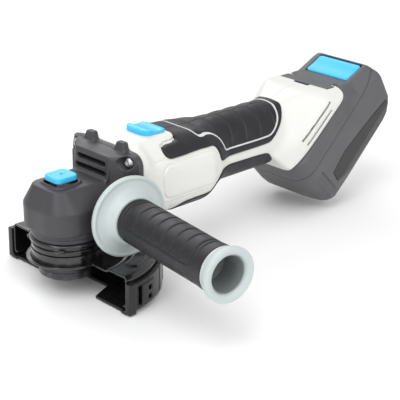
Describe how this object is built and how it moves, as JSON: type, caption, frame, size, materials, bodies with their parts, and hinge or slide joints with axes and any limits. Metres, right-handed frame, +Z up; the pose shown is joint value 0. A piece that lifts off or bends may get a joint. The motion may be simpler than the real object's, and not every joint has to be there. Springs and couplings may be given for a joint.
{
  "type": "angle grinder",
  "caption": "Cordless angle grinder with slide-on battery, auxiliary side handle, half-round wheel guard and clip-on cutting cover, spindle lock and slide switch.",
  "frame": {"origin": "on the spindle axis at the outer face of the flange nut", "axes": "+X towards the battery, -Y towards the fitted side handle, +Z up along the spindle towards the lock button"},
  "size_m": [0.3586, 0.232, 0.1158],
  "materials": {
    "gear_case": "satin",
    "steel": "machined",
    "flange_steel": "blackened",
    "white_shell": "fine satin texture",
    "rubber": "matte, ribbed",
    "inlay": "satin",
    "magnet": "laminated",
    "inner_plastic": "matte",
    "brass": "stamped",
    "carbon": "dull",
    "circuit_board": "masked",
    "copper": "varnished wire",
    "accent": "smooth",
    "guard_paint": "gloss",
    "cover_plastic": "semi gloss",
    "handle_plastic": "satin",
    "battery_shell": "fine texture",
    "cell_wrap": "film",
    "label": "smooth"
  },
  "bodies": {
    "root": {"gear_housing": "gear_case", "gear_housing_screws": "steel", "bearing_cover": "guard_paint", "bearing_cover_screws": "flange_steel", "spindle_bearing": "steel", "spindle_bush": "steel", "lock_spring": "steel", "housing_left": "white_shell", "housing_right": "white_shell", "housing_screws": "steel", "grip_left": "rubber", "grip_right": "rubber", "grip_inlays": "inlay", "lower_grips": "rubber", "belly_pad": "rubber", "side_panels": "white_shell", "motor_can": "steel", "motor_magnets": "magnet", "front_bearing": "steel", "rear_bearing": "steel", "air_baffle": "inner_plastic", "brush_holders": "brass", "carbon_brushes": "carbon", "brush_springs": "steel", "switch_module": "inner_plastic", "control_board": "circuit_board", "battery_rails": "inner_plastic", "terminal_block": "inner_plastic", "foot_contacts": "brass", "power_leads": "inner_plastic"},
    "spindle_unit": {"spindle": "steel", "crown_gear": "steel", "inner_flange": "flange_steel", "lock_nut": "flange_steel"},
    "armature": {"armature_shaft": "steel", "armature_core": "magnet", "armature_windings": "copper", "commutator": "brass", "cooling_fan": "inner_plastic", "pinion_gear": "steel"},
    "spindle_lock": {"lock_button": "accent", "lock_pin": "steel"},
    "switch": {"slide_switch": "accent", "switch_rod": "steel"},
    "guard": {"guard_shell": "guard_paint", "clamp_band": "guard_paint", "clamp_screw": "flange_steel"},
    "clip_cover": {"cutting_cover": "cover_plastic"},
    "side_handle": {"side_handle_core": "handle_plastic", "side_handle_grip": "rubber", "side_handle_stud": "steel"},
    "battery": {"battery_top_shell": "battery_shell", "battery_bottom_shell": "battery_shell", "battery_cells": "cell_wrap", "battery_board": "circuit_board", "battery_terminals": "brass", "battery_labels": "label", "battery_screws": "steel"},
    "battery_release": {"battery_button": "accent", "battery_latch": "inner_plastic"}
  },
  "joints": [
    {"name": "spindle_spin", "type": "hinge", "parent": "root", "child": "spindle_unit", "pos_m": [0, 0, 0.03], "axis": [0, 0, 1], "continuous": true},
    {"name": "armature_spin", "type": "hinge", "parent": "root", "child": "armature", "pos_m": [0.08, 0, 0.059], "axis": [1, 0, 0], "continuous": true},
    {"name": "lock_press", "type": "slide", "parent": "root", "child": "spindle_lock", "axis": [0, 0, -1], "range_m": [0, 0.003], "stiffness_N_per_m": 600, "springref_m": -0.002, "deforming": ["lock_spring"]},
    {"name": "switch_slide", "type": "slide", "parent": "root", "child": "switch", "axis": [-1, 0, 0], "range_m": [0, 0.008], "stiffness_N_per_m": 250, "springref_m": -0.004},
    {"name": "guard_turn", "type": "hinge", "parent": "root", "child": "guard", "pos_m": [0, 0, 0.016], "axis": [0, 0, 1], "range_deg": [-90, 90]},
    {"name": "cover_slide", "type": "slide", "parent": "guard", "child": "clip_cover", "axis": [1, 0, 0], "range_m": [0, 0.075]},
    {"name": "handle_unscrew", "type": "slide", "parent": "root", "child": "side_handle", "axis": [-0.1374, -0.9905, 0], "range_m": [0, 0.02]},
    {"name": "battery_slide", "type": "slide", "parent": "root", "child": "battery", "axis": [0.7254, 0, 0.6884], "range_m": [0, 0.08]},
    {"name": "release_press", "type": "slide", "parent": "battery", "child": "battery_release", "axis": [0.6884, 0, -0.7254], "range_m": [0, 0.0025], "stiffness_N_per_m": 800, "springref_m": -0.002}
  ],
  "couplings": [
    {"joint": "armature_spin", "follows": "spindle_spin", "ratio": 4}
  ]
}
